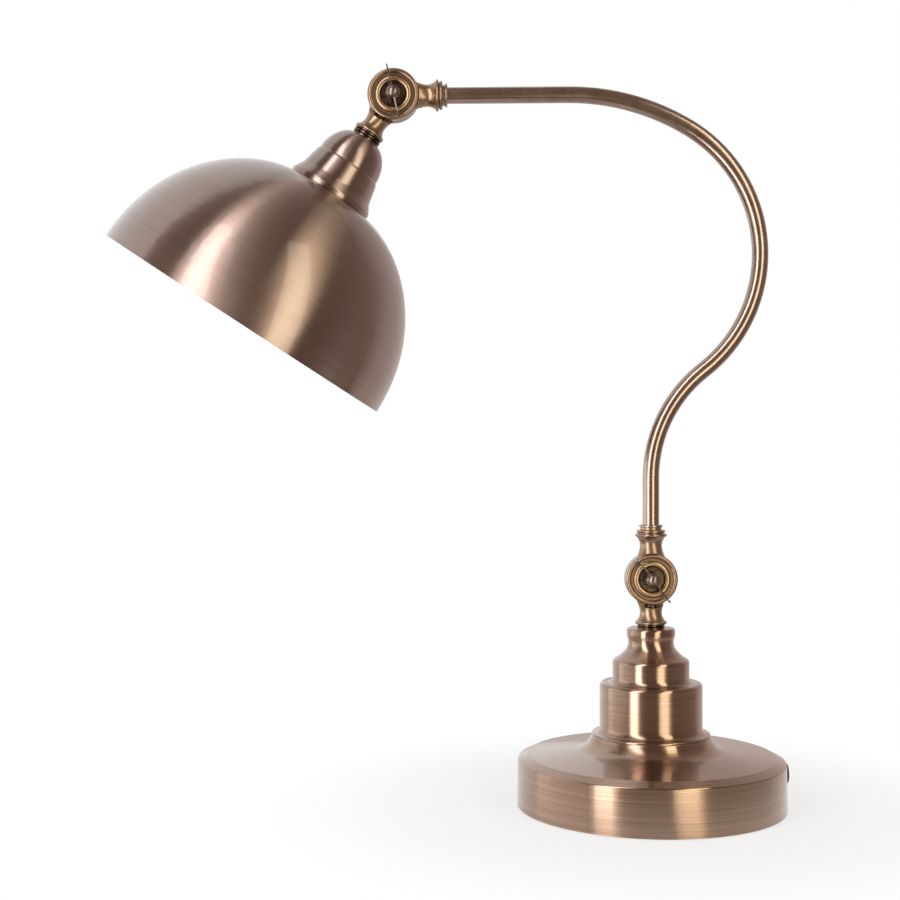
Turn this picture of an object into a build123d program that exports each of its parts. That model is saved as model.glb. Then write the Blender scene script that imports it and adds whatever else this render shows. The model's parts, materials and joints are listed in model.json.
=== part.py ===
from build123d import *
from math import cos, radians, sin
import os

os.makedirs("parts", exist_ok=True)

# Swing arm desk lamp in millimetres. The origin is the middle of the base's underside, Z is up,
# the shade hangs out along -X and the cord inlet is at the rear, +X. Every joint turns about Y.

# Lamp pipe, the common stock of the arm, the base rod and the head nipple
pipe_d = 10.3
pipe_wall = 1.4
thread_gap = 0.04
thread_depth = 10.0
seat_gap = 0.3
pipe_r = pipe_d / 2
pipe_bore_r = pipe_r - pipe_wall
pipe_hole_r = pipe_r + thread_gap

# Flex inside the lamp, and its way from the inlet down to the foot of the rod
flex_d = 6.0
flex_lead = 18.0
flex_slope = 24.0
flex_clear_of_floor = 1.0
flex_r = flex_d / 2

# Felt and bottom plate
felt_thick = 1.2
bottom_plate_thick = 1.0
plate_top = felt_thick + bottom_plate_thick

# Turret radii, from its crown outwards to the rim that stands on the pan
sheet = 1.2
crown_d = 30.0
swell_width = 0.9
ogee_width = 4.9
flare_width = 4.75
ledge_width = 8.0
rim_width = 4.8
rim_inset = 0.15
crown_r = crown_d / 2
waist_r = crown_r - swell_width
ogee_r = waist_r + ogee_width
tier_r = ogee_r + flare_width
turret_r = tier_r + ledge_width
rim_r = turret_r + rim_width
riser_r = rim_r + rim_inset

# Base pan, from the floor up to the ledge under the turret
base_d = 166.6
pan_above_floor = 0.6
side_height = 28.4
side_lean = 0.5
side_round = 0.9
shoulder_width = 6.0
shoulder_rise = 3.0
crease_round = 0.4
plate_rise = 4.5
riser_height = 8.0
riser_lean = 3.4
riser_cove = 11.0
riser_round = 0.8
pan_seat_width = 3.8
base_r = base_d / 2
side_top_r = base_r - side_lean
side_top = pan_above_floor + side_height
crease_r = side_top_r - shoulder_width
crease_z = side_top + shoulder_rise
riser_foot = crease_z + plate_rise
riser_foot_r = riser_r + riser_lean
ledge_z = riser_foot + riser_height
pan_hole_r = turret_r - pan_seat_width

# Turret heights, from the ledge up
rim_round = 0.6
turret_cove = 4.2
turret_height = 31.3
turret_round = 2.2
tier_cove = 3.0
tier_height = 13.8
tier_round = 2.4
flare_height = 2.9
flare_cove = 15.0
ogee_height = 5.2
ogee_cove = 7.0
waist_height = 4.7
swell_height = 2.6
swell_round = 5.0
crown_height = 4.6
crown_round = 1.5
rim_top = ledge_z + sheet
turret_top = rim_top + turret_height
tier_top = turret_top + tier_height
flare_top = tier_top + flare_height
ogee_top = flare_top + ogee_height
waist_top = ogee_top + waist_height
swell_top = waist_top + swell_height
crown_top = swell_top + crown_height

# Weight, nut and washer inside the base
weight_headroom = 8.6
weight_gap = 5.0
boss_inset = 2.0
boss_roof = 11.8
recess_d = 26.0
channel_width = 9.0
nut_width = 14.0
nut_height = 6.0
washer_d = 22.0
washer_thick = 1.5
rod_tail = 1.5
weight_r = side_top_r - sheet - weight_gap
weight_top = side_top - sheet - weight_headroom
boss_top = ledge_z - sheet
recess_top = boss_top - boss_roof
nut_low = recess_top - washer_thick - nut_height

# Cord inlet at the rear of the pan
inlet_below_edge = 9.0
inlet_bore_d = 6.8
bush_wall = 1.0
bush_flange = 1.6
bush_flange_thick = 1.6
inlet_cut = 5.0
inlet_z = side_top - inlet_below_edge
bush_bore_r = inlet_bore_d / 2
bush_r = bush_bore_r + bush_wall
bush_flange_r = bush_r + bush_flange

# Wing screw
screw_d = 5.0
screw_gap = 0.06
screw_washer_thick = 1.2
screw_washer_gap = 0.3
screw_shoulder_d = 7.0
screw_tail = 1.4
ball_d = 9.2
ball_rise = 4.0
wing_reach = 17.2
wing_tip_d = 6.6
wing_root_d = 4.4
wing_root_at = 2.5
wing_forward = 2.5
wing_thick = 0.9
lower_wing_lean = 36.5
upper_wing_lean = 12.8
screw_r = screw_d / 2

# Knuckle casting: a dished disc with a waisted neck. Four alike make the two joints.
disc_d = 32.0
rim_depth = 5.7
rim_bead = 3.0
rim_rise = 0.9
dish_width = 1.4
torus_width = 4.0
torus_rise = 1.1
face_sink = 0.7
face_wall = 1.0
disc_wall = 3.4
hub_wall = 2.5
neck_root_wall = 3.9
neck_waist_wall = 0.7
neck_waist_run = 4.0
neck_flare_wall = 1.0
neck_flare_run = 7.0
flange_width = 4.7
flange_run = 10.3
flange_roll = 1.8
saddle_gap = 2.0
friction_washer_thick = 0.6
friction_washer_inset = 0.8
running_gap = 0.03
disc_r = disc_d / 2
torus_r = disc_r - rim_bead - dish_width
face_recess_r = torus_r - torus_width
face_depth = rim_depth - face_sink
cavity_r = disc_r - disc_wall
hub_r = screw_r + hub_wall
flange_r = pipe_hole_r + flange_width
flange_at = disc_r + flange_run
neck_length = flange_at + flange_roll
mating_face = friction_washer_thick / 2 + running_gap
saddle_r = disc_r + saddle_gap
flex_end = saddle_r + seat_gap
ball_depth = face_depth + screw_washer_thick + ball_rise

# Rings on the arm's necks
ferrule_width = 3.7
ferrule_bead = 2.0
ferrule_groove = 0.4
ferrule_groove_depth = 0.9
ferrule_neck_width = 1.3
ferrule_neck = 1.7
tube_ring_width = 2.1
tube_ring_thick = 1.4
tube_ring_round = 0.5
ferrule_end = neck_length + ferrule_groove + ferrule_bead + ferrule_neck

# Arm, as straight runs from pivot to pivot joined by tangent bends
collar_height = 2.4
lower_run = 63.0
lower_bend_r = 85.0
lower_turn = 51.4
link_run = 2.0
middle_bend_r = 91.8
middle_turn = 110.4
top_bend_r = 144.0
top_turn = 31.4
upper_run = 108.8
lower_pivot_z = crown_top + collar_height + neck_length
arm_heading = 90 - lower_turn + middle_turn + top_turn

# Dark collars under the lower knuckle and over the socket cup
collar_width = 3.3
collar_groove = 0.6
head_collar_width = 4.0
head_collar_height = 4.4

# Bulb with a screw cap, and the lampholder round it
bulb_thread_d = 26.2
bulb_thread_depth = 0.9
bulb_thread_pitch = 3.6
bulb_thread_turns = 5
bulb_thread_gap = 0.3
bulb_tip_d = 8.0
bulb_tip_height = 3.5
bulb_collar_height = 3.0
bulb_neck_inset = 0.5
bulb_neck_height = 17.0
bulb_join = 39.0
bulb_d = 45.0
bulb_wall = 0.8
shell_wall = 0.8
holder_collar_wall = 1.7
holder_wall = 1.2
holder_body_wall = 4.4
holder_thread_wall = 5.2
bulb_r = bulb_d / 2
bulb_thread_r = bulb_thread_d / 2
shell_r = bulb_thread_r + bulb_thread_gap + shell_wall
holder_bore_r = shell_r + thread_gap
holder_collar_r = holder_bore_r + holder_collar_wall
holder_cap_r = holder_collar_r + thread_gap + holder_wall
holder_thread_r = holder_bore_r + holder_thread_wall

# Socket cup over the lampholder, measured down the head's axis from the upper pivot
head_lean = 33.2
cup_sheet = 0.9
cup_room = 2.6
cup_height = 41.4
cup_flat_width = 3.6
cup_crown_pull = 5.3
cup_crown_drop = 0.6
cup_side_pull = 10.7
cup_dome_height = 19.4
cup_step = 0.9
cup_step_height = 1.2
cup_cone_width = 2.7
cup_cone_height = 12.0
cup_lip_width = 3.4
cup_lip_height = 3.0
cup_lip_round = 4.0
cup_dome_r = holder_cap_r + cup_room + cup_sheet
cup_lip_r = cup_dome_r + cup_step + cup_cone_width + cup_lip_width
cup_top_at = neck_length + head_collar_height
cup_inner_top = cup_top_at + cup_sheet
cup_lip_at = cup_top_at + cup_height

# Shade, a spun dome with a flat landing round its hole
shade_d = 198.0
shade_height = 96.2
shade_sheet = 0.9
shade_landing_inset = 1.7
shade_side_pull = 65.0
shade_side_lean = 0.7
shade_crown_pull = 24.0
shade_hole_gap = 0.5
lip_gap = 0.3
shade_r = shade_d / 2
landing_r = cup_lip_r - shade_landing_inset
shade_top_at = cup_lip_at + lip_gap
shade_rim_at = shade_top_at + shade_height

# Heights of the lampholder, the shade ring and the bulb down the head's axis
holder_gap = 0.5
holder_neck_wall = 2.6
holder_neck_height = 5.0
holder_shoulder_height = 5.0
holder_cap_height = 7.0
holder_overlap = 5.0
holder_flange_inset = 3.0
holder_flange_thick = 1.8
holder_thread_length = 21.0
insulator_thick = 8.0
contact_height = 1.8
contact_d = 9.0
contact_tip_d = 4.5
terminal_d = 4.4
terminal_shank_d = 2.6
terminal_head = 1.4
terminal_length = 5.0
terminal_pitch = 14.0
shade_ring_lip = 2.0
shade_ring_height = 8.0
shade_ring_wall = 4.0
holder_top = cup_inner_top + nut_height + holder_gap
holder_neck_end = holder_top + holder_neck_height
holder_joint = holder_neck_end + holder_shoulder_height + holder_cap_height
holder_mouth = shade_top_at + holder_thread_length
shell_top = shade_top_at - holder_flange_thick
insulator_top = shell_top - insulator_thick
bulb_tip_at = shell_top + contact_height + bulb_thread_gap
bulb_cap_at = bulb_tip_at + bulb_tip_height
bulb_collar_at = bulb_cap_at + bulb_thread_turns * bulb_thread_pitch
bulb_glass_at = bulb_collar_at + bulb_collar_height
bulb_centre_at = bulb_glass_at + bulb_neck_height + bulb_r * sin(radians(bulb_join))


# Turned and swept stock


def turned(*edges):
    """A solid turned about Z from a closed outline drawn as (radius, height)."""
    return revolve(Plane.XZ * make_face(edges), Axis.Z)


def ring(outer_r, inner_r, low, high):
    """A plain ring about Z."""
    return turned(Polyline((inner_r, low), (outer_r, low), (outer_r, high), (inner_r, high), close=True))


def rod(radius, low, high):
    """A plain round bar along Z."""
    return Pos(0, 0, low) * Cylinder(radius, high - low, align=(Align.CENTER, Align.CENTER, Align.MIN))


def pipe(low, high):
    """A straight length of lamp pipe along Z."""
    return ring(pipe_r, pipe_bore_r, low, high)


def spun(outer, rounds, inner):
    """A spun shell: a rounded outside and a plain inside, both drawn from the rim to the hole."""
    skin = FilletPolyline(*outer, radius=rounds)
    lining = Polyline(outer[-1], *reversed(inner), outer[0])
    return turned(skin, lining)


def hex_nut(low):
    """A hexagon nut on the lamp pipe, standing on the height given."""
    blank = extrude(RegularPolygon(nut_width / 2, 6, major_radius=False), nut_height)
    return Pos(0, 0, low) * (blank - rod(pipe_hole_r, 0, nut_height))


def swept(radius, path):
    """A round bar along a path."""
    return sweep(Plane(origin=path @ 0, z_dir=path % 0) * Circle(radius), path=path)


# Base


def make_felt():
    return rod(side_top_r - sheet - seat_gap, 0, felt_thick)


def make_bottom_plate():
    return rod(side_top_r - sheet - seat_gap, felt_thick, plate_top)


def make_pan():
    outer = [(base_r, pan_above_floor), (side_top_r, side_top), (crease_r, crease_z)]
    outer += [(riser_foot_r, riser_foot), (riser_r, ledge_z), (pan_hole_r, ledge_z)]
    inner = [(base_r - sheet, pan_above_floor), (side_top_r - sheet, side_top - sheet)]
    inner += [(crease_r - sheet, crease_z - sheet), (riser_foot_r - sheet, riser_foot - sheet)]
    inner += [(riser_r - sheet, ledge_z - sheet), (pan_hole_r, ledge_z - sheet)]
    pan = spun(outer, [side_round, crease_round, riser_cove, riser_round], inner)
    hole = Pos(base_r, 0, inlet_z) * Rot(0, 90, 0) * Cylinder(bush_r + thread_gap, inlet_cut)
    return pan - hole


def make_turret():
    outer = [(rim_r, ledge_z), (rim_r, rim_top), (turret_r, rim_top), (turret_r, turret_top)]
    outer += [(tier_r, turret_top), (tier_r, tier_top), (ogee_r, flare_top), (waist_r, ogee_top)]
    outer += [(waist_r, waist_top), (crown_r, swell_top), (crown_r, crown_top), (pipe_hole_r, crown_top)]
    rounds = [rim_round, turret_cove, turret_round, tier_cove, tier_round]
    rounds += [flare_cove, ogee_cove, swell_round, swell_round, crown_round]
    inner = [(turret_r - sheet, ledge_z), (turret_r - sheet, turret_top - sheet)]
    inner += [(tier_r - sheet, turret_top - sheet), (tier_r - sheet, tier_top - sheet / 2)]
    inner += [(ogee_r - sheet, flare_top - sheet / 2), (waist_r - sheet, ogee_top - sheet / 2)]
    inner += [(waist_r - sheet, waist_top)]
    inner += [(crown_r - sheet, swell_top), (crown_r - sheet, crown_top - sheet)]
    inner += [(pipe_hole_r, crown_top - sheet)]
    return spun(outer, rounds, inner)


def make_weight():
    disc = rod(weight_r, plate_top, weight_top)
    boss = rod(riser_r - sheet - boss_inset, plate_top, boss_top)
    height = weight_top - plate_top
    slot = Box(weight_r, channel_width, height, align=(Align.MIN, Align.CENTER, Align.MIN))
    channel = Pos(0, 0, plate_top) * slot
    recess = rod(recess_d / 2, plate_top, recess_top)
    return disc + boss - channel - recess - rod(pipe_hole_r, recess_top, boss_top)


def make_rod_washer():
    return ring(washer_d / 2, pipe_hole_r, recess_top - washer_thick, recess_top)


def make_base_rod():
    return pipe(nut_low - rod_tail, lower_pivot_z - neck_length + thread_depth)


def make_cord_bush():
    wall_bow = bush_flange_r**2 / side_top_r
    barb = -sheet - side_lean - wall_bow
    tail = barb - bush_flange_thick
    outer = [(bush_bore_r, tail), (bush_r, tail), (bush_flange_r, barb), (bush_r, barb), (bush_r, 0)]
    outer += [(bush_flange_r, 0), (bush_flange_r, bush_flange_thick), (bush_bore_r, bush_flange_thick)]
    return Pos(base_r, 0, inlet_z) * Rot(0, 90, 0) * turned(Polyline(*outer, close=True))


def grooved_collar(width, height, grooves):
    """A dark ring with V grooves round it, standing on Z = 0."""
    outer_r = pipe_hole_r + width
    land = height / (2 * grooves + 1)
    profile = [(pipe_hole_r, 0), (outer_r, 0)]
    for k in range(grooves):
        profile.append((outer_r, (2 * k + 1) * land))
        profile.append((outer_r - collar_groove, (2 * k + 1.5) * land))
        profile.append((outer_r, (2 * k + 2) * land))
    profile += [(outer_r, height), (pipe_hole_r, height)]
    return turned(Polyline(*profile, close=True))


def make_base_flex():
    start = side_top_r - sheet - bush_flange_thick - flex_r
    low = plate_top + flex_clear_of_floor + flex_r
    top = lower_pivot_z - flex_end
    bend = recess_d / 2 - flex_r
    drop = start - flex_lead
    stops = [(start, 0, inlet_z), (drop, 0, inlet_z), (drop - flex_slope, 0, low), (0, 0, low), (0, 0, top)]
    path = FilletPolyline(*stops, radius=bend)
    return swept(flex_r, path.wire())


# Knuckles


def knuckle_half(hole_r):
    """One casting: its disc faces -Y, its neck stands up along Z from the pivot at the origin."""
    rim_base = (disc_r, rim_depth)
    rim_foot = (disc_r - rim_bead, rim_depth)
    torus_foot_out = (torus_r, rim_depth)
    torus_foot_in = (face_recess_r, rim_depth)
    torus_crest = (torus_r - torus_width / 2, rim_depth + torus_rise)
    back = Polyline((0, face_depth), (0, mating_face), (disc_r, mating_face), rim_base)
    bead = ThreePointArc(rim_base, (disc_r - rim_bead / 2, rim_depth + rim_rise), rim_foot)
    dish = Line(rim_foot, torus_foot_out)
    torus = ThreePointArc(torus_foot_out, torus_crest, torus_foot_in)
    floor = Polyline(torus_foot_in, (face_recess_r, face_depth), (0, face_depth))
    disc = turned(back, bead, dish, torus, floor)
    cavity = ring(cavity_r, hub_r, mating_face, face_depth - face_wall)

    neck_root = (pipe_hole_r + neck_root_wall, cavity_r + seat_gap)
    waist_pull = (pipe_hole_r + neck_waist_wall, disc_r + neck_waist_run)
    flare_pull = (pipe_hole_r + neck_flare_wall, disc_r + neck_flare_run)
    roll_foot = (flange_r - flange_roll / 2, flange_at)
    roll_top = (flange_r - flange_roll / 2, neck_length)
    foot = Polyline(roll_top, (0, neck_length), (0, neck_root[1]), neck_root)
    waist = Bezier(neck_root, waist_pull, flare_pull, roll_foot)
    roll = ThreePointArc(roll_foot, (flange_r, flange_at + flange_roll / 2), roll_top)
    neck = turned(foot, waist, roll)

    face_out = Rot(90, 0, 0)
    saddle = rod(saddle_r, -disc_d, mating_face)
    face_room = rod(disc_r + seat_gap, rim_depth, disc_d)
    half = face_out * (disc - cavity) + (neck - face_out * (saddle + face_room))
    passage = rod(pipe_bore_r, cavity_r - pipe_bore_r, neck_length)
    socket = rod(pipe_hole_r, neck_length - thread_depth, neck_length)
    return half - passage - socket - face_out * rod(hole_r, 0, disc_d)


def friction_washer():
    """A thin ring between the two halves of a knuckle, about the pivot along Y."""
    half = friction_washer_thick / 2
    return Rot(90, 0, 0) * ring(disc_r - friction_washer_inset, cavity_r + seat_gap, -half, half)


def screw_washer():
    """A washer in the recess of the front face."""
    low = face_depth
    outer_r = face_recess_r - screw_washer_gap
    return Rot(90, 0, 0) * ring(outer_r, screw_r + screw_washer_gap, low, low + screw_washer_thick)


def wing_screw(lean):
    """A ball-headed screw with two flat wings, leaning to the left of upright by the angle given."""
    shoulder_low = face_depth + screw_washer_thick + running_gap
    shank = rod(screw_r, -face_depth - screw_tail, ball_depth)
    shoulder = rod(screw_shoulder_d / 2, shoulder_low, ball_depth)
    ball = Pos(0, 0, ball_depth) * Sphere(ball_d / 2)
    root = Pos(wing_root_at, ball_depth) * Circle(wing_root_d / 2)
    tip_at = wing_reach - wing_tip_d / 2
    tip = Pos(tip_at, ball_depth + wing_forward) * Circle(wing_tip_d / 2)
    wing_face = Plane.XZ * make_hull(root.edges() + tip.edges())
    wing = extrude(wing_face, wing_thick / 2, both=True)
    wings = wing + mirror(wing, Plane.YZ)
    return Rot(0, -90 - lean, 0) * Rot(90, 0, 0) * (shank + shoulder + ball + wings)


# Arm


def arm_route(inset):
    """The arm's centreline, stopping short of both pivots by the inset given."""
    rise = Line((0, lower_pivot_z + inset), (0, lower_pivot_z + lower_run))
    bow_out = JernArc(rise @ 1, rise % 1, lower_bend_r, -lower_turn)
    link = Line(bow_out @ 1, bow_out @ 1 + (bow_out % 1) * link_run)
    bow_back = JernArc(link @ 1, link % 1, middle_bend_r, middle_turn)
    crown = JernArc(bow_back @ 1, bow_back % 1, top_bend_r, top_turn)
    reach = Line(crown @ 1, crown @ 1 + (crown % 1) * (upper_run - inset))
    return Wire([Plane.XZ * run for run in (rise, bow_out, link, bow_back, crown, reach)])


def ferrule():
    """A beaded ring on the tube, against the end of a neck."""
    bead_r = pipe_hole_r + ferrule_width
    groove_r = bead_r - ferrule_groove_depth
    neck_r = pipe_hole_r + ferrule_neck_width
    bead_low = neck_length + ferrule_groove
    bead_high = bead_low + ferrule_bead
    foot = Polyline((pipe_hole_r, neck_length), (groove_r, neck_length), (groove_r, bead_low))
    crest = (bead_r, bead_low + ferrule_bead / 2)
    bead = ThreePointArc((groove_r, bead_low), crest, (groove_r, bead_high))
    neck = [(groove_r, bead_high), (neck_r, bead_high), (neck_r, ferrule_end)]
    body = Polyline(*neck, (pipe_hole_r, ferrule_end), (pipe_hole_r, neck_length))
    return turned(foot, bead, body)


def tube_ring():
    """A thin rounded ring that ends the ferrule on the tube."""
    outer_r = pipe_hole_r + tube_ring_width
    low = ferrule_end
    high = low + tube_ring_thick
    corners = [(pipe_hole_r, low), (outer_r, low), (outer_r, high), (pipe_hole_r, high)]
    face = FilletPolyline(*corners, radius=[tube_ring_round, tube_ring_round])
    return turned(face, Line(corners[-1], corners[0]))


# Head, built hanging straight down from its pivot at the origin


def cup_outline(inset):
    """The cup's profile from its top hole down to its lip, drawn in by the inset."""
    top = -cup_top_at - inset
    flat_r = pipe_hole_r + cup_flat_width - inset / 2
    dome_r = cup_dome_r - inset
    dome_low = -cup_top_at - cup_dome_height
    lip_r = cup_lip_r - inset
    lip = -cup_lip_at
    flat = Line((pipe_hole_r, top), (flat_r, top))
    crown_pull = (flat_r + cup_crown_pull, top - cup_crown_drop)
    side_pull = (dome_r, dome_low + cup_side_pull)
    dome = Bezier((flat_r, top), crown_pull, side_pull, (dome_r, dome_low))
    cone_high = dome_low - cup_step_height
    cone_low = cone_high - cup_cone_height
    cone_r = dome_r + cup_step
    corners = [(dome_r, dome_low), (cone_r, cone_high), (cone_r + cup_cone_width, cone_low)]
    corners += [(lip_r, lip + cup_lip_height), (lip_r, lip)]
    bell = FilletPolyline(*corners, radius=[cup_step / 3, cup_lip_round, cup_lip_round / 2])
    return flat, dome, bell


def make_cup():
    outside = cup_outline(0)
    inside = cup_outline(cup_sheet)
    hole = Line(outside[0] @ 0, inside[0] @ 0)
    lip = Line(outside[2] @ 1, inside[2] @ 1)
    return turned(*outside, lip, *inside, hole)


def shade_skin(inset):
    """One side of the shade's wall, from the rim up to the landing."""
    side_r = shade_r - inset
    top = shade_height - inset
    side_pull = (side_r - shade_side_lean, shade_side_pull - inset / 2)
    crown_pull = (landing_r + shade_crown_pull - inset / 2, top)
    return Bezier((side_r, 0), side_pull, crown_pull, (landing_r, top))


def make_shade():
    hole_r = holder_thread_r + shade_hole_gap
    outside = shade_skin(0)
    inside = shade_skin(shade_sheet)
    rim = Line(outside @ 0, inside @ 0)
    landing = Polyline(outside @ 1, (hole_r, shade_height), (hole_r, shade_height - shade_sheet), inside @ 1)
    return Pos(0, 0, -shade_rim_at) * turned(outside, landing, inside, rim)


def make_shade_ring():
    top = -shade_top_at - shade_sheet
    inner_r = holder_thread_r + thread_gap
    body_r = inner_r + shade_ring_wall
    lip_r = landing_r - seat_gap
    lip_low = top - shade_ring_lip
    corners = [(inner_r, top), (lip_r, top), (lip_r, lip_low), (body_r, lip_low)]
    corners += [(body_r, top - shade_ring_height), (inner_r, top - shade_ring_height)]
    return turned(Polyline(*corners, close=True))


def make_holder_cap():
    top = -holder_top
    neck_low = -holder_neck_end
    shoulder_low = neck_low - holder_shoulder_height
    low = -holder_joint
    neck_r = pipe_hole_r + holder_neck_wall
    inner_r = holder_cap_r - holder_wall
    outer = [(pipe_hole_r, top), (neck_r, top), (neck_r, neck_low)]
    outer += [(holder_cap_r, shoulder_low), (holder_cap_r, low)]
    inner = [(inner_r, low), (inner_r, shoulder_low), (neck_r, neck_low - holder_wall)]
    inner += [(pipe_hole_r, neck_low - holder_wall)]
    return turned(Polyline(*outer, *inner, close=True))


def make_holder_body():
    collar_top = -holder_joint + holder_overlap
    body_r = holder_bore_r + holder_body_wall
    rim_out = landing_r - holder_flange_inset
    outer = [(holder_bore_r, collar_top), (holder_collar_r, collar_top), (holder_collar_r, -holder_joint)]
    outer += [(body_r, -holder_joint), (body_r, -shell_top), (rim_out, -shell_top)]
    outer += [(rim_out, -shade_top_at), (holder_thread_r, -shade_top_at)]
    outer += [(holder_thread_r, -holder_mouth), (holder_bore_r, -holder_mouth)]
    return turned(Polyline(*outer, close=True))


def terminal_places():
    return [Pos(0, side * terminal_pitch / 2, -insulator_top) for side in (-1, 1)]


def make_insulator():
    disc = rod(holder_bore_r - thread_gap, -shell_top, -insulator_top)
    for place in terminal_places():
        disc -= place * rod(terminal_shank_d / 2 + thread_gap, -terminal_length, 0)
    return disc


def make_terminal_screws():
    screw = rod(terminal_d / 2, 0, terminal_head) + rod(terminal_shank_d / 2, -terminal_length, 0)
    return Compound(children=[place * screw for place in terminal_places()])


def thread_rings(radius, top, turns):
    """Points of a rounded screw thread drawn as rings, from its top down."""
    points = []
    for k in range(turns):
        low = top - k * bulb_thread_pitch
        points.append((radius - bulb_thread_depth, low))
        points.append((radius, low - bulb_thread_pitch / 2))
    points.append((radius - bulb_thread_depth, top - turns * bulb_thread_pitch))
    return points


def make_thread_shell():
    inner_r = bulb_thread_r + bulb_thread_gap
    groove = thread_rings(inner_r, -bulb_cap_at, bulb_thread_turns)
    low = groove[-1][1]
    wall = [(inner_r - bulb_thread_depth, -shell_top), (shell_r, -shell_top), (shell_r, low)]
    return turned(Polyline(*wall, *reversed(groove), close=True))


def make_contact():
    base = -shell_top
    crest = base - contact_height
    corners = [(0, base), (contact_d / 2, base), (contact_tip_d / 2, crest), (0, crest)]
    return turned(Polyline(*corners, close=True))


def make_bulb_contact():
    tip_r = bulb_tip_d / 2
    root_r = bulb_thread_r - bulb_thread_depth - bulb_wall
    top = -bulb_tip_at
    low = -bulb_cap_at
    tip = Bezier((0, top), (tip_r, top), (tip_r, top - bulb_tip_height / 2), (root_r, low))
    return turned(tip, Polyline((root_r, low), (0, low), (0, top)))


def make_bulb_cap():
    thread = thread_rings(bulb_thread_r, -bulb_cap_at, bulb_thread_turns)
    inner_r = bulb_thread_r - bulb_thread_depth - bulb_wall
    neck_r = bulb_thread_r - bulb_neck_inset
    low = -bulb_glass_at
    wall = [(neck_r, thread[-1][1]), (neck_r, low), (inner_r, low), (inner_r, -bulb_cap_at)]
    return turned(Polyline(*thread, *wall, close=True))


def glass_skin(inset):
    """One side of the glass, from its neck round to the crown."""
    lean = radians(bulb_join)
    radius = bulb_r - inset
    neck_r = bulb_thread_r - bulb_neck_inset - inset
    join = (radius * cos(lean), -bulb_centre_at + radius * sin(lean))
    pull = bulb_neck_height / 3
    lead_in = (join[0] - pull * sin(lean), join[1] + pull * cos(lean))
    neck = Bezier((neck_r, -bulb_glass_at), (neck_r, -bulb_glass_at - pull), lead_in, join)
    globe = ThreePointArc(join, (radius, -bulb_centre_at), (0, -bulb_centre_at - radius))
    return neck, globe


def make_bulb_glass():
    outside = glass_skin(0)
    inside = glass_skin(bulb_wall)
    mouth = Line(outside[0] @ 0, inside[0] @ 0)
    crown = Line(outside[1] @ 1, inside[1] @ 1)
    return turned(*outside, crown, *inside, mouth)


# Places of the joints

lower = Pos(0, 0, lower_pivot_z)
upper_pivot = arm_route(0) @ 1
upper_arm = Pos(upper_pivot) * Rot(0, 270 - arm_heading, 0)
head = Pos(upper_pivot) * Rot(0, head_lean, 0)
turned_over = Rot(180, 0, 0)
clear_half = knuckle_half(screw_r + screw_gap)

arm_tube = swept(pipe_r, arm_route(neck_length - thread_depth))
arm_tube -= swept(pipe_bore_r, arm_route(neck_length - thread_depth))

nodes = {
    "felt_pad": make_felt(),
    "bottom_plate": make_bottom_plate(),
    "base_weight": make_weight(),
    "base_pan": make_pan(),
    "turret": make_turret(),
    "base_rod": make_base_rod(),
    "rod_washer": make_rod_washer(),
    "rod_nut": hex_nut(nut_low),
    "cord_bush": make_cord_bush(),
    "base_collar": Pos(0, 0, crown_top) * grooved_collar(collar_width, collar_height, 1),
    "lower_knuckle_rear": lower * turned_over * clear_half,
    "lower_friction_washer": lower * friction_washer(),
    "base_flex": make_base_flex(),
    "lower_knuckle_front": lower * clear_half,
    "lower_ferrule": lower * ferrule(),
    "lower_tube_ring": lower * tube_ring(),
    "lower_screw_washer": lower * screw_washer(),
    "arm_tube": arm_tube,
    "arm_flex": swept(flex_r, arm_route(flex_end)),
    "upper_tube_ring": upper_arm * tube_ring(),
    "upper_ferrule": upper_arm * ferrule(),
    "upper_knuckle_front": upper_arm * clear_half,
    "upper_screw_washer": upper_arm * screw_washer(),
    "upper_knuckle_rear": head * turned_over * clear_half,
    "upper_friction_washer": head * friction_washer(),
    "head_collar": head * Pos(0, 0, -cup_top_at) * grooved_collar(head_collar_width, head_collar_height, 2),
    "head_nipple": head * pipe(-holder_neck_end, thread_depth - neck_length),
    "head_nut": head * hex_nut(-cup_inner_top - nut_height),
    "socket_cup": head * make_cup(),
    "lampholder_cap": head * make_holder_cap(),
    "lampholder_body": head * make_holder_body(),
    "lampholder_insulator": head * make_insulator(),
    "lampholder_thread": head * make_thread_shell(),
    "centre_contact": head * make_contact(),
    "terminal_screws": head * make_terminal_screws(),
    "shade": head * make_shade(),
    "shade_ring": head * make_shade_ring(),
    "bulb_contact": head * make_bulb_contact(),
    "bulb_cap": head * make_bulb_cap(),
    "bulb_glass": head * make_bulb_glass(),
    "head_flex": head * rod(flex_r, -insulator_top + terminal_head + flex_r, -flex_end),
    "lower_wing_screw": lower * wing_screw(lower_wing_lean),
    "upper_wing_screw": Pos(upper_pivot) * wing_screw(upper_wing_lean),
}

for name, solid in nodes.items():
    export_step(solid, f"parts/{name}.step")
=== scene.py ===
import json
import math

import bmesh
import bpy
from mathutils import Euler, Matrix, Vector

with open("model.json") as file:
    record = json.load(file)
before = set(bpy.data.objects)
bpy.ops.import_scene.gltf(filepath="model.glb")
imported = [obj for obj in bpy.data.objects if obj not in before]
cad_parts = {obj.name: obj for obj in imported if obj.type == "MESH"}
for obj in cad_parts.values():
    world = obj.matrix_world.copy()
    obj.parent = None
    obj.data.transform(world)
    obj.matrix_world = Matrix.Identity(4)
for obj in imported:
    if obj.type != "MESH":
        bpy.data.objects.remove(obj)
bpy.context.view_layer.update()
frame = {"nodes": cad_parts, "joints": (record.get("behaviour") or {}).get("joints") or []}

# Felt pad: a die-cut disc of dense dark brown felt, glued under the base so that
# the lamp doesn't scratch the desk. Short fibres stand up all over its face.


def new_finish(name):
    """A new material, with its node tree and its surface shader."""
    finish = bpy.data.materials.new(name)
    finish.use_nodes = True
    return finish, finish.node_tree, finish.node_tree.nodes["Principled BSDF"]


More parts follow.
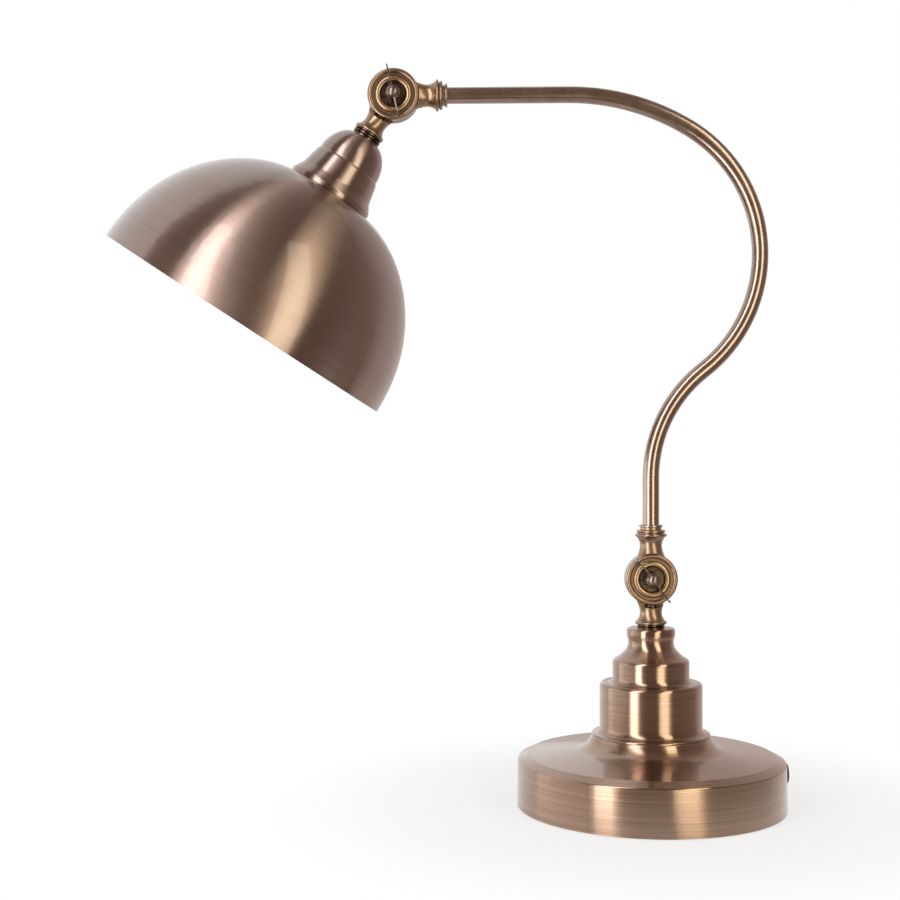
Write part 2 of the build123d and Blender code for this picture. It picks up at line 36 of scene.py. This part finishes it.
def put(tree, kind, inputs, **settings):
    """Adds a shader node. Its inputs are constants, or outputs of other nodes to link."""
    made = tree.nodes.new(kind)
    for key, value in settings.items():
        setattr(made, key, value)
    for key, value in inputs.items():
        if isinstance(value, bpy.types.NodeSocket):
            tree.links.new(value, made.inputs[key])
        else:
            made.inputs[key].default_value = value
    return made


def tones(tree, factor, *stops):
    """A colour ramp over the factor, from pairs of place and colour."""
    ramp = put(tree, "ShaderNodeValToRGB", {"Fac": factor})
    marks = ramp.color_ramp.elements
    while len(marks) < len(stops):
        marks.new(1.0)
    for mark, (place, colour) in zip(marks, stops):
        mark.position = place
        mark.color = (*colour, 1.0)
    return ramp.outputs["Color"]


def spread(tree, factor, low, high):
    """Maps a factor from 0..1 to the range given."""
    return put(tree, "ShaderNodeMapRange", {"Value": factor, "To Min": low, "To Max": high}).outputs["Result"]


def grain(tree, scale, detail=4.0, roughness=0.55):
    """Noise fixed to the piece, with the scale in features per metre."""
    place = put(tree, "ShaderNodeTexCoord", {})
    inputs = {"Vector": place.outputs["Object"], "Scale": scale, "Detail": detail, "Roughness": roughness}
    return put(tree, "ShaderNodeTexNoise", inputs).outputs["Fac"]


def relief(tree, shader, height, strength, depth):
    """Raises the surface by a height pattern, with the depth in metres."""
    bump = put(tree, "ShaderNodeBump", {"Height": height, "Strength": strength, "Distance": depth})
    tree.links.new(bump.outputs["Normal"], shader.inputs["Normal"])


def feed(tree, shader, **sockets):
    """Links patterns to the shader's sockets, named with underscores for spaces."""
    for name, source in sockets.items():
        tree.links.new(source, shader.inputs[name.replace("_", " ").title()])


def dress(finish, *names):
    """Gives CAD nodes their finish."""
    for name in names:
        slots = frame["nodes"][name].data.materials
        slots.clear()
        slots.append(finish)


felt, tree, shader = new_finish("felt")
fibres = grain(tree, scale=1500.0, detail=6.0, roughness=0.7)
feed(tree, shader, base_color=tones(tree, fibres, (0.3, (0.022, 0.017, 0.014)), (0.7, (0.075, 0.06, 0.05))))
relief(tree, shader, fibres, strength=0.8, depth=0.0006)
shader.inputs["Roughness"].default_value = 0.95
shader.inputs["Sheen Weight"].default_value = 0.3
dress(felt, "felt_pad")

# Weight and fixings inside the base: a primed iron casting, a steel bottom plate, and the hollow
# threaded rod with its washer and nut that clamp the whole stack. All are hidden in the closed lamp.

cast_iron, tree, shader = new_finish("cast_iron")
sand = grain(tree, scale=900.0, detail=5.0)
feed(tree, shader, base_color=tones(tree, sand, (0.35, (0.035, 0.034, 0.033)), (0.7, (0.085, 0.08, 0.075))))
feed(tree, shader, roughness=spread(tree, sand, 0.55, 0.8))
relief(tree, shader, sand, strength=0.6, depth=0.0005)
shader.inputs["Metallic"].default_value = 0.6
dress(cast_iron, "base_weight")

zinc_steel, tree, shader = new_finish("zinc_steel")
bloom = grain(tree, scale=350.0, detail=3.0)
feed(tree, shader, base_color=tones(tree, bloom, (0.3, (0.42, 0.43, 0.44)), (0.7, (0.6, 0.6, 0.58))))
feed(tree, shader, roughness=spread(tree, bloom, 0.3, 0.48))
relief(tree, shader, grain(tree, scale=2500.0), strength=0.15, depth=0.0001)
shader.inputs["Metallic"].default_value = 1.0
dress(zinc_steel, "bottom_plate", "base_rod", "rod_washer", "rod_nut", "head_nipple", "head_nut")

# Base pan and turret: two spinnings in sheet metal, plated in antique bronze, brushed while they turn
# in the lathe and lacquered. The brush leaves fine rings round the axis, with darker plate between them.


def brushed_bronze(name, centre, lean, contrast, polish, tints):
    """Bronze brushed in rings about an axis through the centre, leaning from upright about Y."""
    low, middle, high = tints
    finish, tree, shader = new_finish(name)
    place = put(tree, "ShaderNodeTexCoord", {})
    inputs = {"Vector": place.outputs["Object"], "Location": centre, "Rotation": (0.0, lean, 0.0)}
    on_axis = put(tree, "ShaderNodeMapping", inputs, vector_type="TEXTURE").outputs["Vector"]
    spot = put(tree, "ShaderNodeSeparateXYZ", {"Vector": on_axis})
    out = put(tree, "ShaderNodeCombineXYZ", {"X": spot.outputs["X"], "Y": spot.outputs["Y"]}).outputs["Vector"]
    radius = put(tree, "ShaderNodeVectorMath", {0: out}, operation="LENGTH").outputs["Value"]
    bearing = put(tree, "ShaderNodeVectorMath", {0: out}, operation="NORMALIZE").outputs["Vector"]
    bearing = put(tree, "ShaderNodeSeparateXYZ", {"Vector": bearing})

    def rings(pitch, arc):
        """Streaks that follow the brush: thin across the rings, long around them."""
        across = put(tree, "ShaderNodeMath", {0: radius, 1: 1.0 / pitch}, operation="MULTIPLY").outputs[0]
        along = put(tree, "ShaderNodeMath", {0: spot.outputs["Z"], 1: 1.0 / pitch}, operation="MULTIPLY").outputs[0]
        turn_x = put(tree, "ShaderNodeMath", {0: bearing.outputs["X"], 1: arc}, operation="MULTIPLY").outputs[0]
        turn_y = put(tree, "ShaderNodeMath", {0: bearing.outputs["Y"], 1: arc}, operation="MULTIPLY").outputs[0]
        streak = put(tree, "ShaderNodeCombineXYZ", {"X": across, "Y": along, "Z": turn_x}).outputs["Vector"]
        inputs = {"Vector": streak, "W": turn_y, "Scale": 1.0, "Detail": 3.0, "Roughness": 0.6}
        return put(tree, "ShaderNodeTexNoise", inputs, noise_dimensions="4D").outputs["Fac"]

    fine = rings(pitch=0.0006, arc=0.9)
    broad = rings(pitch=0.004, arc=0.5)
    broad_share = 0.3
    streak = put(tree, "ShaderNodeMix", {"Factor": broad_share, "A": fine, "B": broad}).outputs["Result"]
    streak = spread(tree, streak, 0.5 - contrast, 0.5 + contrast)
    feed(tree, shader, base_color=tones(tree, streak, (0.1, low), (0.5, middle), (0.9, high)))
    feed(tree, shader, roughness=spread(tree, fine, polish, polish + 0.05))
    relief(tree, shader, fine, strength=0.08, depth=0.00005)

    back = put(tree, "ShaderNodeMath", {0: spot.outputs["Y"], 1: -1.0}, operation="MULTIPLY").outputs[0]
    ring = put(tree, "ShaderNodeCombineXYZ", {"X": back, "Y": spot.outputs["X"]}).outputs["Vector"]
    ring = put(tree, "ShaderNodeVectorRotate", {"Vector": ring, "Angle": lean}, rotation_type="Y_AXIS")
    ring = put(tree, "ShaderNodeVectorTransform", {"Vector": ring.outputs["Vector"]}, convert_from="OBJECT")
    tree.links.new(ring.outputs["Vector"], shader.inputs["Tangent"])
    shader.inputs["Metallic"].default_value = 1.0
    shader.inputs["Anisotropic"].default_value = 1.0
    shader.inputs["Anisotropic Rotation"].default_value = 0.25
    shader.inputs["Coat Weight"].default_value = 0.6
    shader.inputs["Coat Roughness"].default_value = 0.06
    return finish


base_tints = (0.17, 0.1, 0.063), (0.335, 0.218, 0.154), (0.5, 0.36, 0.28)
foot = (0.0, 0.0, 0.0)
base_bronze = brushed_bronze("base_bronze", foot, lean=0.0, contrast=0.45, polish=0.22, tints=base_tints)
dress(base_bronze, "base_pan", "turret")

# Inlet bush and flex: a black moulded bush snapped into the rear of the pan, and the round flex that
# runs from it up the rod, through the arm and down to the lampholder.

black_moulding, tree, shader = new_finish("black_moulding")
skin = grain(tree, scale=2200.0)
feed(tree, shader, base_color=tones(tree, skin, (0.3, (0.012, 0.012, 0.012)), (0.7, (0.03, 0.03, 0.03))))
feed(tree, shader, roughness=spread(tree, skin, 0.4, 0.6))
relief(tree, shader, skin, strength=0.3, depth=0.0001)
dress(black_moulding, "cord_bush")

flex_sheath, tree, shader = new_finish("flex_sheath")
powder = grain(tree, scale=800.0)
feed(tree, shader, base_color=tones(tree, powder, (0.3, (0.016, 0.016, 0.016)), (0.7, (0.04, 0.04, 0.04))))
feed(tree, shader, roughness=spread(tree, powder, 0.5, 0.7))
relief(tree, shader, powder, strength=0.2, depth=0.0001)
dress(flex_sheath, "base_flex", "arm_flex", "head_flex")

# Collars: turned bronze rings, blackened, with one or two V grooves. The black has worn off
# the highest edges, where the metal shows through as bright lines.

blackened_bronze, tree, shader = new_finish("blackened_bronze")
smoke = grain(tree, scale=700.0)
hollow = put(tree, "ShaderNodeAmbientOcclusion", {"Distance": 0.0012}, samples=8, only_local=True).outputs["AO"]
worn = put(tree, "ShaderNodeMath", {0: smoke, 1: hollow}, operation="MULTIPLY").outputs[0]
feed(tree, shader, base_color=tones(tree, worn, (0.3, (0.03, 0.022, 0.018)), (0.62, (0.16, 0.115, 0.085))))
feed(tree, shader, roughness=spread(tree, smoke, 0.18, 0.34))
relief(tree, shader, smoke, strength=0.1, depth=0.0001)
shader.inputs["Metallic"].default_value = 1.0
dress(blackened_bronze, "base_collar", "head_collar", "lower_screw_washer", "upper_screw_washer")

# Knuckles and ferrules: brass castings, turned and polished, then darkened with patina and wiped, with the hollows
# left brown. On the knuckle faces the colour also holds painted light: a painted highlight as a gold band on the
# torus crest, and painted shade in the recess and in the groove outside the torus. Four alike halves make the two
# joints.


def antique_brass(name, pivot):
    """Brass with rings of colour about a pivot along Y: near black in the recess, patina and painted shade; a gold
    band on the torus, a painted highlight; a darker ring in the groove past it, painted shade; brown patina over
    the dish.
    """
    finish, tree, shader = new_finish(name)
    place = put(tree, "ShaderNodeTexCoord", {})
    away = put(tree, "ShaderNodeVectorMath", {0: place.outputs["Object"], 1: pivot}, operation="SUBTRACT")
    inputs = {0: away.outputs["Vector"], 1: (1.0, 0.0, 1.0)}
    flat = put(tree, "ShaderNodeVectorMath", inputs, operation="MULTIPLY").outputs["Vector"]
    radius = put(tree, "ShaderNodeVectorMath", {0: flat}, operation="LENGTH").outputs["Value"]
    ramp_reach = 0.02
    radius = put(tree, "ShaderNodeMapRange", {"Value": radius, "From Max": ramp_reach}).outputs["Result"]
    # Painted light in these rings: the gold stops at 0.41 and 0.5 are a painted highlight on the torus, and the
    # dark stops at 0.35 and 0.57 are painted shade in the recess and the groove, laid over the patina.
    brown, highlight_gold = (0.15, 0.094, 0.064), (0.44, 0.305, 0.165)
    rings = tones(tree, radius, (0.35, (0.06, 0.035, 0.025)), (0.41, highlight_gold), (0.5, highlight_gold), (0.57, (0.22, 0.14, 0.09)),
                  (0.7, (0.28, 0.18, 0.115)), (0.79, (0.32, 0.215, 0.14)), (0.88, (0.345, 0.232, 0.142)))
    cloud = grain(tree, scale=140.0, detail=2.0)
    worn = put(tree, "ShaderNodeMix", {"A": rings, "B": (*brown, 1.0)}, data_type="RGBA")
    tree.links.new(spread(tree, cloud, -0.2, 0.5), worn.inputs["Factor"])
    feed(tree, shader, base_color=worn.outputs["Result"])
    feed(tree, shader, roughness=spread(tree, cloud, 0.3, 0.38))
    shader.inputs["Metallic"].default_value = 1.0
    shader.inputs["Coat Weight"].default_value = 0.6
    shader.inputs["Coat Roughness"].default_value = 0.18
    return finish


pivots = {joint["name"]: joint["pos_m"] for joint in frame["joints"]}
lower_brass = antique_brass("lower_brass", pivots["arm_tilt"])
dress(lower_brass, "lower_knuckle_rear", "lower_knuckle_front", "lower_ferrule")
upper_brass = antique_brass("upper_brass", pivots["head_tilt"])
dress(upper_brass, "upper_knuckle_rear", "upper_knuckle_front", "upper_ferrule")

# Friction washers: thin rings of vulcanised fibre between the two halves of each knuckle. They give
# the joint its drag, and only their edges show.

fibre, tree, shader = new_finish("fibre")
pressed = grain(tree, scale=1600.0)
feed(tree, shader, base_color=tones(tree, pressed, (0.3, (0.05, 0.02, 0.014)), (0.7, (0.11, 0.045, 0.03))))
feed(tree, shader, roughness=spread(tree, pressed, 0.6, 0.8))
dress(fibre, "lower_friction_washer", "upper_friction_washer")

# Arm: one length of lamp pipe bent in an S, plated in antique bronze and polished along its length.
# A thin plain ring covers the pipe's entry into each ferrule.

tube_bronze, tree, shader = new_finish("tube_bronze")
cloud = grain(tree, scale=120.0, detail=4.0)
feed(tree, shader, base_color=tones(tree, cloud, (0.3, (0.3, 0.215, 0.17)), (0.7, (0.38, 0.28, 0.225))))
feed(tree, shader, roughness=spread(tree, cloud, 0.2, 0.28))
shader.inputs["Metallic"].default_value = 1.0
shader.inputs["Coat Weight"].default_value = 1.0
shader.inputs["Coat Roughness"].default_value = 0.18
dress(tube_bronze, "arm_tube")

pale_ring, tree, shader = new_finish("pale_ring")
rub = grain(tree, scale=900.0)
feed(tree, shader, base_color=tones(tree, rub, (0.3, (0.30, 0.25, 0.21)), (0.7, (0.46, 0.40, 0.35))))
feed(tree, shader, roughness=spread(tree, rub, 0.2, 0.34))
shader.inputs["Metallic"].default_value = 1.0
dress(pale_ring, "lower_tube_ring", "upper_tube_ring")

# Socket cup and shade: spun like the base, brushed in rings about the head's own axis. The head hangs
# from the upper knuckle and leans forward.

head_lean = math.radians(33.2)
head_tints = (0.15, 0.1, 0.08), (0.31, 0.226, 0.193), (0.46, 0.36, 0.32)
hinge = pivots["head_tilt"]
head_bronze = brushed_bronze("head_bronze", hinge, lean=head_lean, contrast=0.25, polish=0.28, tints=head_tints)
dress(head_bronze, "socket_cup", "shade")

# Lampholder: a brass cap over a phenolic body, with a porcelain disc that carries the contact and the
# terminals, a screwed brass shell for the bulb, and a phenolic ring that clamps the shade.

pressed_brass, tree, shader = new_finish("pressed_brass")
dull = grain(tree, scale=400.0)
feed(tree, shader, base_color=tones(tree, dull, (0.3, (0.48, 0.32, 0.12)), (0.7, (0.62, 0.45, 0.2))))
feed(tree, shader, roughness=spread(tree, dull, 0.25, 0.4))
shader.inputs["Metallic"].default_value = 1.0
dress(pressed_brass, "lampholder_cap", "lampholder_thread", "centre_contact", "terminal_screws")

phenolic, tree, shader = new_finish("phenolic")
flow = grain(tree, scale=300.0, detail=5.0)
feed(tree, shader, base_color=tones(tree, flow, (0.3, (0.014, 0.011, 0.01)), (0.7, (0.03, 0.024, 0.02))))
feed(tree, shader, roughness=spread(tree, flow, 0.22, 0.36))
dress(phenolic, "lampholder_body", "shade_ring")

porcelain, tree, shader = new_finish("porcelain")
speck = grain(tree, scale=1200.0)
feed(tree, shader, base_color=tones(tree, speck, (0.3, (0.72, 0.7, 0.64)), (0.7, (0.84, 0.82, 0.78))))
feed(tree, shader, roughness=spread(tree, speck, 0.5, 0.7))
dress(porcelain, "lampholder_insulator")

# Bulb: a golf-ball bulb with an etched opal glass, a rolled aluminium screw cap and a black glass
# insulator that carries the soldered tip.

opal, tree, shader = new_finish("opal")
etch = grain(tree, scale=900.0)
feed(tree, shader, base_color=tones(tree, etch, (0.3, (0.84, 0.83, 0.8)), (0.7, (0.9, 0.895, 0.87))))
feed(tree, shader, roughness=spread(tree, etch, 0.28, 0.42))
shader.inputs["Subsurface Weight"].default_value = 0.3
shader.inputs["Subsurface Radius"].default_value = (0.004, 0.004, 0.004)
dress(opal, "bulb_glass")

rolled_cap, tree, shader = new_finish("rolled_cap")
scuff = grain(tree, scale=1000.0)
feed(tree, shader, base_color=tones(tree, scuff, (0.3, (0.6, 0.6, 0.6)), (0.7, (0.75, 0.75, 0.74))))
feed(tree, shader, roughness=spread(tree, scuff, 0.25, 0.42))
shader.inputs["Metallic"].default_value = 1.0
dress(rolled_cap, "bulb_cap")

black_glass, tree, shader = new_finish("black_glass")
swirl = grain(tree, scale=500.0)
feed(tree, shader, base_color=tones(tree, swirl, (0.3, (0.01, 0.01, 0.012)), (0.7, (0.03, 0.03, 0.034))))
feed(tree, shader, roughness=spread(tree, swirl, 0.08, 0.2))
dress(black_glass, "bulb_contact")

# Wing screws: die castings in dark plate, a ball with two flat wings on a screwed shank. They pass through
# the front half of a knuckle into the rear half and clamp the joint.

dark_plate, tree, shader = new_finish("dark_plate")
flow = grain(tree, scale=600.0)
feed(tree, shader, base_color=tones(tree, flow, (0.3, (0.17, 0.125, 0.105)), (0.7, (0.28, 0.225, 0.205))))
feed(tree, shader, roughness=spread(tree, flow, 0.22, 0.36))
relief(tree, shader, flow, strength=0.1, depth=0.0001)
shader.inputs["Metallic"].default_value = 1.0
dress(dark_plate, "lower_wing_screw", "upper_wing_screw")

# Studio: a white table top that fades into a white room. A tent of brown cloth hangs round the lamp, open
# behind it on the left, with tall soft boxes inside, so that the metal shows bright and dark bands.


def seen_directly(tree):
    """1 for rays from the camera, a mirror or a clear piece, 0 for scattered light."""
    ray = put(tree, "ShaderNodeLightPath", {})
    inputs = {0: ray.outputs["Is Camera Ray"], 1: ray.outputs["Is Glossy Ray"]}
    either = put(tree, "ShaderNodeMath", inputs, operation="MAXIMUM").outputs[0]
    inputs = {0: either, 1: ray.outputs["Is Transmission Ray"]}
    return put(tree, "ShaderNodeMath", inputs, operation="MAXIMUM").outputs[0]


room = bpy.data.worlds.new("room")
room.use_nodes = True
bpy.context.scene.world = room
backdrop = room.node_tree.nodes["Background"]
backdrop.inputs["Color"].default_value = (1.0, 1.0, 1.0, 1.0)
room_light, room_shown = 0.4, 1.0
level = spread(room.node_tree, seen_directly(room.node_tree), room_light, room_shown)
room.node_tree.links.new(level, backdrop.inputs["Strength"])

table_reach = 0.5
below_pad = -0.0003
spot = (0.0, 0.0, below_pad)
bpy.ops.mesh.primitive_circle_add(vertices=96, radius=table_reach, fill_type="NGON", location=spot)
table_top = bpy.context.object
table_top.name = "table_top"
white_table, tree, shader = new_finish("white_table")
shader.inputs["Base Color"].default_value = (0.85, 0.85, 0.85, 1.0)
shader.inputs["Roughness"].default_value = 0.9
shader.inputs["Specular IOR Level"].default_value = 0.0
glow = put(tree, "ShaderNodeEmission", {"Color": (1.0, 1.0, 1.0, 1.0), "Strength": 1.0})
glow_share = 0.75
shown = spread(tree, seen_directly(tree), 0.0, glow_share)
paper = put(tree, "ShaderNodeMixShader", {"Fac": shown, 1: shader.outputs["BSDF"], 2: glow.outputs["Emission"]})
place = put(tree, "ShaderNodeTexCoord", {})
reach = put(tree, "ShaderNodeVectorMath", {0: place.outputs["Object"]}, operation="LENGTH").outputs["Value"]
fade_start, fade_end = 0.09, 0.26
inputs = {"Value": reach, "From Min": fade_start, "From Max": fade_end}
fade = put(tree, "ShaderNodeMapRange", inputs, interpolation_type="SMOOTHSTEP").outputs["Result"]
under = put(tree, "ShaderNodeNewGeometry", {}).outputs["Backfacing"]
clear = put(tree, "ShaderNodeMath", {0: fade, 1: under}, operation="MAXIMUM").outputs[0]
gap = put(tree, "ShaderNodeBsdfTransparent", {})
mix = put(tree, "ShaderNodeMixShader", {"Fac": clear, 1: paper.outputs["Shader"], 2: gap.outputs["BSDF"]})
tree.links.new(mix.outputs["Shader"], tree.nodes["Material Output"].inputs["Surface"])
table_top.data.materials.append(white_table)

tent_mesh = bpy.data.meshes.new("tent")
shell = bmesh.new()
tent_reach = 6.0
bmesh.ops.create_uvsphere(shell, u_segments=64, v_segments=32, radius=tent_reach)
open_bearing, open_height = math.radians(225.0), math.radians(30.0)
open_way = Vector((0.0, -math.cos(open_height), math.sin(open_height)))
open_way = Matrix.Rotation(open_bearing, 3, "Z") @ open_way
open_limit = 0.695
behind = [corner for corner in shell.verts if corner.co.normalized().dot(open_way) > open_limit]
bmesh.ops.delete(shell, geom=behind, context="VERTS")
shell.to_mesh(tent_mesh)
shell.free()
tent = bpy.data.objects.new("tent", tent_mesh)
bpy.context.scene.collection.objects.link(tent)
tent.visible_camera = False
brown_cloth, tree, shader = new_finish("brown_cloth")
dim_side = (0.0, -1.0, 0.0)
place = put(tree, "ShaderNodeTexCoord", {})
toward = put(tree, "ShaderNodeVectorMath", {0: place.outputs["Object"]}, operation="NORMALIZE").outputs["Vector"]
facing = put(tree, "ShaderNodeVectorMath", {0: toward, 1: dim_side}, operation="DOT_PRODUCT").outputs["Value"]
facing = put(tree, "ShaderNodeMapRange", {"Value": facing, "From Min": -1.0, "From Max": 1.0}).outputs["Result"]
cloth = tones(tree, facing, (0.22, (0.66, 0.57, 0.54)), (0.36, (0.37, 0.295, 0.255)), (0.6, (0.3, 0.23, 0.19)),
              (0.9, (0.21, 0.145, 0.11)))
fold = put(tree, "ShaderNodeEmission", {"Color": cloth, "Strength": 1.0})
tree.links.new(fold.outputs["Emission"], tree.nodes["Material Output"].inputs["Surface"])
tent_mesh.materials.append(brown_cloth)


def soft_box(name, bearing, reach, height, roll, size, power, colour):
    """A soft box at a bearing from the camera's side, positive to the right, leaning right by the roll."""
    middle_x = -0.08
    lamp = bpy.data.lights.new(name, "AREA")
    lamp.shape = "RECTANGLE"
    lamp.size, lamp.size_y = size
    lamp.energy = power
    lamp.color = colour
    box = bpy.data.objects.new(name, lamp)
    turn = math.radians(bearing)
    box.location = (math.sin(turn) * reach + middle_x, -math.cos(turn) * reach, height)
    facing = Euler((math.radians(90.0), 0.0, turn)).to_matrix() @ Matrix.Rotation(math.radians(-roll), 3, "Z")
    box.rotation_euler = facing.to_euler()
    bpy.context.scene.collection.objects.link(box)


soft_box("left_box", bearing=-36.0, reach=0.85, height=0.6, roll=7.0,
         size=(0.25, 2.2), power=7.6, colour=(1.0, 0.98, 0.96))
soft_box("left_wash", bearing=-37.0, reach=0.95, height=0.7, roll=7.0,
         size=(0.44, 2.4), power=4.8, colour=(1.0, 0.97, 0.95))
soft_box("right_box", bearing=34.0, reach=1.25, height=0.6, roll=16.0,
         size=(0.44, 2.4), power=12.0, colour=(1.0, 0.94, 0.73))
soft_box("fill_box", bearing=-88.0, reach=1.6, height=0.1, roll=0.0,
         size=(1.8, 0.7), power=4.4, colour=(1.0, 1.0, 1.0))

# Camera: level, near the middle of the lamp's height and square to the plane of the arm. It stands
# near enough for the base to show the top of its plate.

view_x, view_distance, view_height = -0.1252, 0.92, 0.2215
lens = bpy.data.cameras.new("camera")
lens.sensor_width = 36.0
lens.lens = 59.04
camera = bpy.data.objects.new("camera", lens)
camera.location = (view_x, -view_distance, view_height)
camera.rotation_euler = (math.radians(90.0), 0.0, 0.0)
bpy.context.scene.collection.objects.link(camera)
bpy.context.scene.camera = camera
bpy.context.scene.view_settings.view_transform = "Standard"
